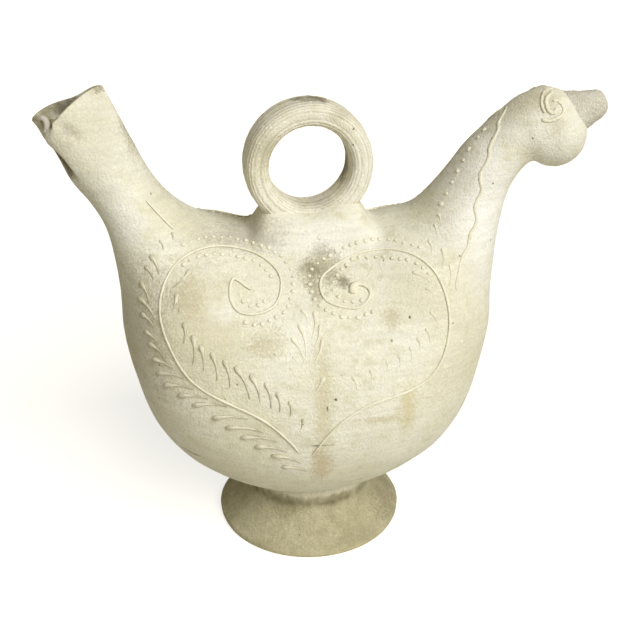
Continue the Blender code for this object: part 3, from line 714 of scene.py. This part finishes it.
# leaves: where the round head lies and where the thin tail ends
leafEnds = dict(
    outerTail=(((-94, 177), (-93.5, 172.5)), ((-101, 172.5), (-99, 166.5)), ((-106.5, 164), (-102, 152)),
               ((-110, 158), (-105.5, 149.5)), ((-113.5, 149.5), (-108.5, 136)),
               ((-115, 140.5), (-105.5, 126.5)), ((-114, 131), (-106.5, 122)),
               ((-112, 120.5), (-104.5, 112)), ((-110.5, 113.5), (-101, 104)),
               ((-108.5, 104), (-97, 97.5)), ((-107, 95.5), (-90.5, 91.5)), ((-103, 88), (-85.5, 85)),
               ((-95, 81.5), (-77.5, 79)), ((-86.5, 75.5), (-66.5, 74)), ((-75.5, 67.5), (-55, 66)),
               ((-68, 61.5), (-46, 57.5)), ((-59.5, 55), (-38, 51.5)), ((-51.5, 49), (-32.5, 45)),
               ((-42, 43), (-24, 37.5)), ((-35.5, 35.5), (-21.5, 32))),
    innerTail=(((-83.5, 154), (-94.5, 144)), ((-92, 140.5), (-95.5, 129.5)), ((-90.5, 132), (-92.5, 128)),
               ((-88.5, 123.5), (-89.5, 111.5)), ((-84, 116), (-85, 99)), ((-80, 110), (-79, 95.5)),
               ((-74, 105.5), (-71.5, 89.5)), ((-67, 101), (-64.5, 85)), ((-61, 97), (-53.5, 78)),
               ((-52.5, 92), (-47.5, 75)), ((-44, 87), (-41.5, 71.5)), ((-37.5, 81), (-36.5, 69.5)),
               ((-30.5, 75.5), (-30.5, 66.5)), ((-23.5, 64.5), (-24.5, 58.5))),
    outerNeck=(((57.5, 166.5), (58, 157.5)), ((65, 161), (63, 148.5)), ((68.5, 151), (66, 137.5)),
               ((72, 141.5), (70, 134)), ((76, 120.5), (71.5, 113)), ((74, 105.5), (68, 99.5)),
               ((72.5, 95), (63.5, 89)), ((65, 83.5), (55.5, 80)), ((55, 74), (46.5, 73))),
    innerNeck=(((45, 147), (54.5, 140)), ((51.5, 137), (56.5, 131.5)), ((53.5, 123), (57.5, 115)),
               ((50.5, 113.5), (52.5, 104.5)), ((45, 108), (46.5, 100.5)), ((40.5, 103), (41, 95)),
               ((33.5, 98.5), (34, 91.5)), ((26, 95), (26.5, 89.5)), ((16.5, 91), (17, 83.5)),
               ((6, 87.5), (8.5, 79))),
    palmette=(((-21.5, 128), (-18, 119)), ((-23.5, 119.5), (-20.5, 100)), ((-28, 111.5), (-21.5, 97)),
              ((-28, 100.5), (-25.5, 96.5)), ((-30, 95), (-27.5, 90)), ((-14, 126.5), (-16.5, 110.5)),
              ((-11, 118.5), (-17, 102.5)), ((-10, 110), (-17.5, 94.5)), ((-10.5, 88), (-18.5, 77.5))),
    neckStrokes=(((65, 182.5), (65.5, 175)), ((62, 176), (62.5, 169))),
)
# rows of dots inside and outside each scroll
dotRows = (
    ((-87.5, 169.5), (-74.5, 174), (-58, 173.5), (-39, 166.5), (-29, 158.5), (-24.5, 145.5), (-29.5, 129),
     (-37.5, 123), (-48, 120), (-58, 123)),
    ((-87.5, 157), (-76.5, 162.5), (-61, 162), (-45, 157), (-37, 148)),
    ((-56, 138), (-53, 132), (-46, 131), (-39, 136)),
    ((51.5, 161.5), (30.5, 169), (6.5, 164), (-11.5, 153.5), (-15, 145), (-12.5, 132.5), (-4, 125),
     (4, 122), (14, 122), (23, 126)),
    ((54.5, 145.5), (48.5, 151.5), (36.5, 156), (18, 157.5), (10.5, 156), (-1.5, 143.5), (0, 136),
     (5.5, 131), (14.5, 131.5)),
)
neckDrops = ((94.5, 231), (90.5, 226.5), (85, 220), (81.5, 213.5), (78, 207.5), (74.5, 201), (71, 194.5),
             (67.5, 188.5))
# the plane's lean in degrees, its distance from the pot and how far lines are cast from it, in metres
drawing = dict(tilt=30.0, start=0.3, reach=2.0)
# tadpole of slip: radius from head to tail, bend of the tail, the length that has full weight, and the
# stretch of the head darkened with dirt and painted shade
leaf = dict(steps=14, bend=0.07, fullLength=12, slimmest=0.5, along=(0, 0.05, 0.12, 0.2, 0.32, 0.6, 1),
            radius=(0.8, 1.55, 1.8, 1.55, 1.0, 0.6, 0.3), shadeAndDirtHead=span(0.42, 0.12))
# even bead with thin ends: where its last stretch swells, the hand's wobble, and how near the wall it
# is darkened with dirt and painted shade, from a little to fully
bead = dict(sides=10, along=(0, 0.03, 0.84, 0.92, 0.98, 1), thinStart=0.45, thinEnd=0.5,
            wobble=0.22, wobbleStep=0.21, wobbleSeed=2.0, shadeAndDirtEdge=(0.9, 0.25))
# dots: spacing and stray, the ball's make, its spread of sizes, and painted shade near the wall
dot = dict(gap=4.7, steps=12, stray=0.4, segments=12, rings=7, smallest=0.78, largest=1.15, seed=4,
           darkening=0.8, shadeAndDirtEdge=(0.6, 0.1))


def castOnWall(tree, given):  # the wall, where each point lands on it and which points miss it
    target = add(tree, "GeometryNodeObjectInfo", {"Object": given["Wall"]}, out="Geometry",
                 transform_space="RELATIVE")
    ray = add(tree, "GeometryNodeRaycast", {
        "Target Geometry": target, "Ray Direction": given["Way"], "Ray Length": drawing["reach"]}, out=None)
    landed = ray.outputs
    missed = add(tree, "FunctionNodeBooleanMath", {0: landed["Is Hit"]}, operation="NOT")
    return target, landed, missed


def lineTree():
    tree, given, names = newTree("trailed slip", {
        "Geometry": "Geometry", "Wall": "Object", "Way": "Vector", "Lift": "Float", "Flatness": "Float",
        "Edge Shade And Dirt": "Float", "Head Shade And Dirt": "Float", "Clay": "Material"})
    target, landed, missed = castOnWall(tree, given)
    raised = add(tree, "ShaderNodeVectorMath", {0: landed["Hit Normal"], "Scale": given["Lift"]},
                 operation="SCALE")
    onWall = add(tree, "ShaderNodeVectorMath", {0: landed["Hit Position"], 1: raised}, operation="ADD")
    held = add(tree, "GeometryNodeDeleteGeometry", {"Geometry": given["Geometry"], "Selection": missed})
    laid = add(tree, "GeometryNodeSetPosition", {"Geometry": held, "Position": onWall})
    # the head end of a leaf is darkened: dirt and painted shade
    along = add(tree, "GeometryNodeSplineParameter", out="Factor")
    first = add(tree, "ShaderNodeMapRange", {
        "Value": along, **leaf["shadeAndDirtHead"], "To Max": given["Head Shade And Dirt"]})
    laid = add(tree, "GeometryNodeStoreNamedAttribute", {"Geometry": laid, "Name": "grime", "Value": first},
               **dirtAndShadeLayer)
    unit = add(tree, "GeometryNodeCurvePrimitiveCircle", {"Resolution": bead["sides"], "Radius": 1.0})
    thick = add(tree, "GeometryNodeInputRadius")
    swept = add(tree, "GeometryNodeCurveToMesh", {
        "Curve": laid, "Profile Curve": unit, "Scale": thick, "Fill Caps": True})

    # the bead is pressed flat against the wall, and dirt and painted shade darken it where they meet
    near = add(tree, "GeometryNodeProximity", {0: target}, out=None).outputs
    spot = add(tree, "GeometryNodeInputPosition")
    toWall = add(tree, "ShaderNodeVectorMath", {0: near["Position"], 1: spot}, operation="SUBTRACT")
    pressed = add(tree, "ShaderNodeVectorMath", {0: toWall, "Scale": given["Flatness"]}, operation="SCALE")
    flat = add(tree, "GeometryNodeSetPosition", {"Geometry": swept, "Offset": pressed})
    clean, darkened = bead["shadeAndDirtEdge"]
    darkening = add(tree, "ShaderNodeMapRange", {
        "Value": near["Distance"], **span(clean * mm, darkened * mm, given["Edge Shade And Dirt"])})
    headShadeAndDirt = add(tree, "GeometryNodeInputNamedAttribute", {"Name": "grime"}, data_type="FLOAT")
    darkening = add(tree, "ShaderNodeMath", {0: darkening, 1: headShadeAndDirt}, operation="MAXIMUM")
    marked = add(tree, "GeometryNodeStoreNamedAttribute", {"Geometry": flat, "Name": "grime", "Value": darkening},
                 **dirtAndShadeLayer)
    solid = add(tree, "GeometryNodeRealizeInstances", {0: marked})
    done = add(tree, "GeometryNodeSetMaterial", {"Geometry": solid, "Material": given["Clay"]})
    add(tree, "NodeGroupOutput", {0: done})
    return tree, names


def dotTree():
    tree, given, names = newTree("slip dots", {
        "Geometry": "Geometry", "Wall": "Object", "Way": "Vector", "Dot Radius": "Float", "Flatness": "Float",
        "Clay": "Material"})
    target, landed, missed = castOnWall(tree, given)
    kept = tree.nodes.new("GeometryNodeCaptureAttribute")
    kept.capture_items.new("VECTOR", "Facing")
    tree.links.new(given["Geometry"], kept.inputs[0])
    tree.links.new(landed["Hit Normal"], kept.inputs[1])
    held = add(tree, "GeometryNodeDeleteGeometry", {"Geometry": kept.outputs[0], "Selection": missed})
    moved = add(tree, "GeometryNodeSetPosition", {"Geometry": held, "Position": landed["Hit Position"]})
    turned = add(tree, "FunctionNodeAlignRotationToVector", {"Vector": kept.outputs[1]}, axis="Z")
    ball = add(tree, "GeometryNodeMeshUVSphere", {
        "Segments": dot["segments"], "Rings": dot["rings"], "Radius": given["Dot Radius"]})
    vary = add(tree, "FunctionNodeRandomValue", {2: dot["smallest"], 3: dot["largest"], "Seed": dot["seed"]},
               out=1, data_type="FLOAT")
    tall = add(tree, "ShaderNodeMath", {0: vary, 1: given["Flatness"]}, operation="MULTIPLY")
    size = add(tree, "ShaderNodeCombineXYZ", {0: vary, 1: vary, 2: tall})
    spots = add(tree, "GeometryNodeInstanceOnPoints", {
        "Points": moved, "Instance": ball, "Rotation": turned, "Scale": size})
    solid = add(tree, "GeometryNodeRealizeInstances", {0: spots})
    # darkening where the ball meets the wall: painted shade
    far = add(tree, "GeometryNodeProximity", {0: target}, out="Distance")
    clean, darkened = dot["shadeAndDirtEdge"]
    darkening = add(tree, "ShaderNodeMapRange", {"Value": far, **span(clean * mm, darkened * mm, dot["darkening"])})
    marked = add(tree, "GeometryNodeStoreNamedAttribute", {"Geometry": solid, "Name": "grime", "Value": darkening},
                 **dirtAndShadeLayer)
    done = add(tree, "GeometryNodeSetMaterial", {"Geometry": marked, "Material": given["Clay"]})
    add(tree, "NodeGroupOutput", {0: done})
    return tree, names


def onPlane(points, side):  # drawing points in front of (side -1) or behind (side 1) the pot
    tilt = math.radians(drawing["tilt"])
    way = Vector((0, -side * math.cos(tilt), -math.sin(tilt)))
    rise = Vector((0, -side * math.sin(tilt), math.cos(tilt)))
    return [Vector((x * mm, 0, 0)) + rise * (w * mm) - way * drawing["start"] for x, w in points], way


def leafPath(head, root, fat):
    head, root = np.array(head, float), np.array(root, float)
    way = root - head
    across = np.array([-way[1], way[0]])
    t = np.linspace(0, 1, leaf["steps"])[:, None]
    path = head + way * t + across * leaf["bend"] * np.sin(t * math.pi)
    fat *= np.clip(np.linalg.norm(way) / leaf["fullLength"], leaf["slimmest"], 1)  # short leaves are slim
    return path, np.interp(t[:, 0], leaf["along"], leaf["radius"]) * fat


def traced(points, steps, thick, swell):
    path = soften(spline(points, steps), steps / 4)
    t = np.linspace(0, 1, len(path))
    places = [Vector((i * bead["wobbleStep"], thick, bead["wobbleSeed"])) for i in range(len(path))]
    wobble = np.array([noise.noise(p) for p in places])
    size = np.interp(t, bead["along"], (bead["thinStart"], 1, 1, swell, swell, bead["thinEnd"] * swell))
    return path, thick * size * (1 + bead["wobble"] * wobble)


def dotsAlong(row):  # dots at an even spacing along a row, not quite in line
    path = spline(row, dot["steps"])
    length = np.concatenate([[0], np.cumsum(np.linalg.norm(np.diff(path, axis=0), axis=1))])
    stray = dot["stray"]
    return [tuple(np.interp(mark, length, path[:, axis]) + draw.uniform(-stray, stray) for axis in (0, 1))
            for mark in np.arange(0, length[-1], dot["gap"])]


trail, trailNames = lineTree()
dotRule, dotNames = dotTree()
slip = clay["trailed clay slip"]


def trailPiece(name, strokes, side, piece):  # strokes: a path and its radius at each point
    curve = bpy.data.curves.new(name, "CURVE")
    curve.dimensions = "3D"
    for path, radius in strokes:
        points, way = onPlane(path, side)
        line = curve.splines.new("POLY")
        line.points.add(len(points) - 1)
        for point, co, r in zip(line.points, points, radius):
            point.co = (*co, 1.0)
            point.radius = r * mm
    return bake(newItem(name, curve), trail, trailNames, {
        "Wall": wall, "Way": way, "Lift": piece["lift"] * mm, "Flatness": piece["flatness"],
        "Edge Shade And Dirt": piece["edgeShadeAndDirt"], "Head Shade And Dirt": piece.get("headShadeAndDirt", 0.0), "Clay": slip}, name)


def dotPiece(name, dots, side, piece):
    points, way = onPlane(dots, side)
    mesh = bpy.data.meshes.new(name)
    mesh.from_pydata(points, [], [])
    return bake(newItem(name, mesh), dotRule, dotNames, {
        "Wall": wall, "Way": way, "Dot Radius": piece["radius"] * mm, "Flatness": piece["flatness"],
        "Clay": slip}, name)


# pieces of slip and the node each belongs to. A line has its points, steps between them, radius and swell;
# skipBack leaves out the points that would lie on the far side's crest. Lifts and radii are in millimetres
slipPieces = (
    dict(name="vine_tail_side", node="scroll_tail_side", lift=0.5, flatness=0.12, edgeShadeAndDirt=1.0,
         lines=((scrolls["tail side"], 10, 0.8, 1.2), (tailStroke, 10, 0.65, 1.0))),
    dict(name="vine_neck_side", node="scroll_neck_side", lift=0.5, flatness=0.12, edgeShadeAndDirt=0.4,
         lines=((scrolls["neck side"], 10, 0.8, 2.5),)),
    dict(name="slip_neck_wave", node="neck_wave", lift=0.05, flatness=0.3, edgeShadeAndDirt=0.3,
         lines=((neckWave, 12, 1.0, 1.0),)),
    dict(name="slip_eye_arc", node="eye_arc", lift=0.2, flatness=0.2, edgeShadeAndDirt=0.45, skipBack=2,
         lines=((eyeArc, 12, 0.85, 1.0),)),
    dict(name="slip_eye_curl", node="eye_curl", lift=0.1, flatness=0.25, edgeShadeAndDirt=0.45,
         lines=((eyeHook, 12, 1.25, 1.0), (eyeRing, 12, 1.1, 1.0))),
    dict(name="leaves_tail_outer", node="scroll_tail_side", lift=0.4, flatness=0.3, edgeShadeAndDirt=1.0,
         headShadeAndDirt=0.6, leaves=leafEnds["outerTail"], fat=1.0),
    dict(name="leaves_tail_inner", node="scroll_tail_side", lift=0.4, flatness=0.3, edgeShadeAndDirt=1.0,
         headShadeAndDirt=0.35, leaves=leafEnds["innerTail"], fat=0.95),
    dict(name="leaves_neck_side", node="scroll_neck_side", lift=0.05, flatness=0.45, edgeShadeAndDirt=0.3,
         leaves=leafEnds["outerNeck"] + leafEnds["innerNeck"], fat=0.85),
    dict(name="palmette", node="scroll_tail_side", lift=0.05, flatness=0.3, edgeShadeAndDirt=0.15,
         leaves=leafEnds["palmette"], fat=0.8),
    dict(name="neck_strokes", node="neck_wave", lift=0.1, flatness=0.2, edgeShadeAndDirt=0.25,
         leaves=leafEnds["neckStrokes"], fat=0.8),
)
dotPlaces = [spot for row in dotRows for spot in dotsAlong(row)]
dotPieces = (
    # the far side's drops lie lower, behind the crest
    dict(name="neck_drops", node="neck_wave", dots=neckDrops, lowerBack=16, radius=1.6, flatness=0.6),
    dict(name="slip_dots", node="scroll_tail_side", dots=dotPlaces, lowerBack=0, radius=1.3, flatness=0.8),
)
for label, side in (("front", -1), ("back", 1)):
    for piece in slipPieces:
        if "leaves" in piece:
            strokes = [leafPath(*ends, piece["fat"]) for ends in piece["leaves"]]
        else:
            skipped = piece.get("skipBack", 0) if side > 0 else 0
            strokes = [traced(points[skipped:], *rest) for points, *rest in piece["lines"]]
        made = trailPiece(f"{piece['name']}_{label}", strokes, side, piece)
        place(made, None, (f"{piece['node']}_{label}",))
    for piece in dotPieces:
        lower = piece["lowerBack"] if side > 0 else 0
        made = dotPiece(f"{piece['name']}_{label}", [(x, w - lower) for x, w in piece["dots"]], side, piece)
        place(made, None, (f"{piece['node']}_{label}",))
print("slip drawing", len(dotPlaces), "dots a side")

# floor, light and camera

stage = dict(
    floorSize=8.0, floorColour="#CBC8BC", floorGlow=0.72, sky="#FFFFFF", skyTint="#FFF2CF", skyLight=0.2,
    key=dict(turn=29, lift=39, spread=42, power=2.9, colour="#FFFEFA"),
    camera=dict(at=(-64.7, -576.0, 439.1), way=(0.09314, 0.88613, -0.45399), lens=56.25, sensor=36),
)


def seenOnly(tree, elsewhere, seen):  # one strength for light on things, one for what the lens sees
    ray = add(tree, "ShaderNodeLightPath", out=None).outputs
    lens = ray["Is Camera Ray"]
    for kind in ("Is Transmission Ray", "Is Glossy Ray"):
        lens = add(tree, "ShaderNodeMath", {0: lens, 1: ray[kind]}, operation="MAXIMUM")
    return add(tree, "ShaderNodeMapRange", {"Value": lens, "To Min": elsewhere, "To Max": seen})


def buildFloor():
    mesh = bpy.data.meshes.new("floor")
    s = stage["floorSize"] / 2
    mesh.from_pydata([(-s, -s, 0), (s, -s, 0), (s, s, 0), (-s, s, 0)], [], [(0, 1, 2, 3)])
    floor = newItem("floor", mesh)
    paper = bpy.data.materials.new("white paper")
    tree = emptyTree(paper)
    lit = add(tree, "ShaderNodeBsdfDiffuse", {"Color": tone(stage["floorColour"])})
    glow = add(tree, "ShaderNodeEmission", {"Strength": seenOnly(tree, 0.0, stage["floorGlow"])})
    add(tree, "ShaderNodeOutputMaterial", {"Surface": add(tree, "ShaderNodeAddShader", {0: lit, 1: glow})})
    mesh.materials.append(paper)


def buildLight():
    world = bpy.data.worlds.new("studio")
    bpy.context.scene.world = world
    tree = emptyTree(world)
    lensPart = seenOnly(tree, 0.0, 1.0)
    light = add(tree, "ShaderNodeBackground", {
        "Color": tone(stage["skyTint"]), "Strength": stage["skyLight"]})
    paperWhite = add(tree, "ShaderNodeBackground", {"Color": tone(stage["sky"]), "Strength": 1.0})
    shown = add(tree, "ShaderNodeMixShader", {0: lensPart, 1: light, 2: paperWhite})
    add(tree, "ShaderNodeOutputWorld", {"Surface": shown})
    key = stage["key"]
    lamp = bpy.data.lights.new("soft window", "SUN")
    lamp.angle = math.radians(key["spread"])
    lamp.energy = key["power"]
    lamp.color = tone(key["colour"])[:3]
    a, e = math.radians(key["turn"]), math.radians(key["lift"])
    out = Vector((math.sin(a) * math.cos(e), -math.cos(a) * math.cos(e), math.sin(e)))
    lampItem = newItem("soft window", lamp)
    lampItem.location = out
    lampItem.rotation_euler = (-out).to_track_quat("-Z", "Y").to_euler()


def buildCamera():
    view = stage["camera"]
    camera = bpy.data.cameras.new("camera")
    camera.lens = view["lens"]
    camera.sensor_width = view["sensor"]
    camera.dof.use_dof = False
    cameraItem = newItem("camera", camera)
    cameraItem.location = [c * mm for c in view["at"]]
    cameraItem.rotation_euler = Vector(view["way"]).to_track_quat("-Z", "Y").to_euler()
    bpy.context.scene.camera = cameraItem
    bpy.context.scene.view_settings.view_transform = "Standard"


buildFloor()
buildLight()
buildCamera()
print("stage")
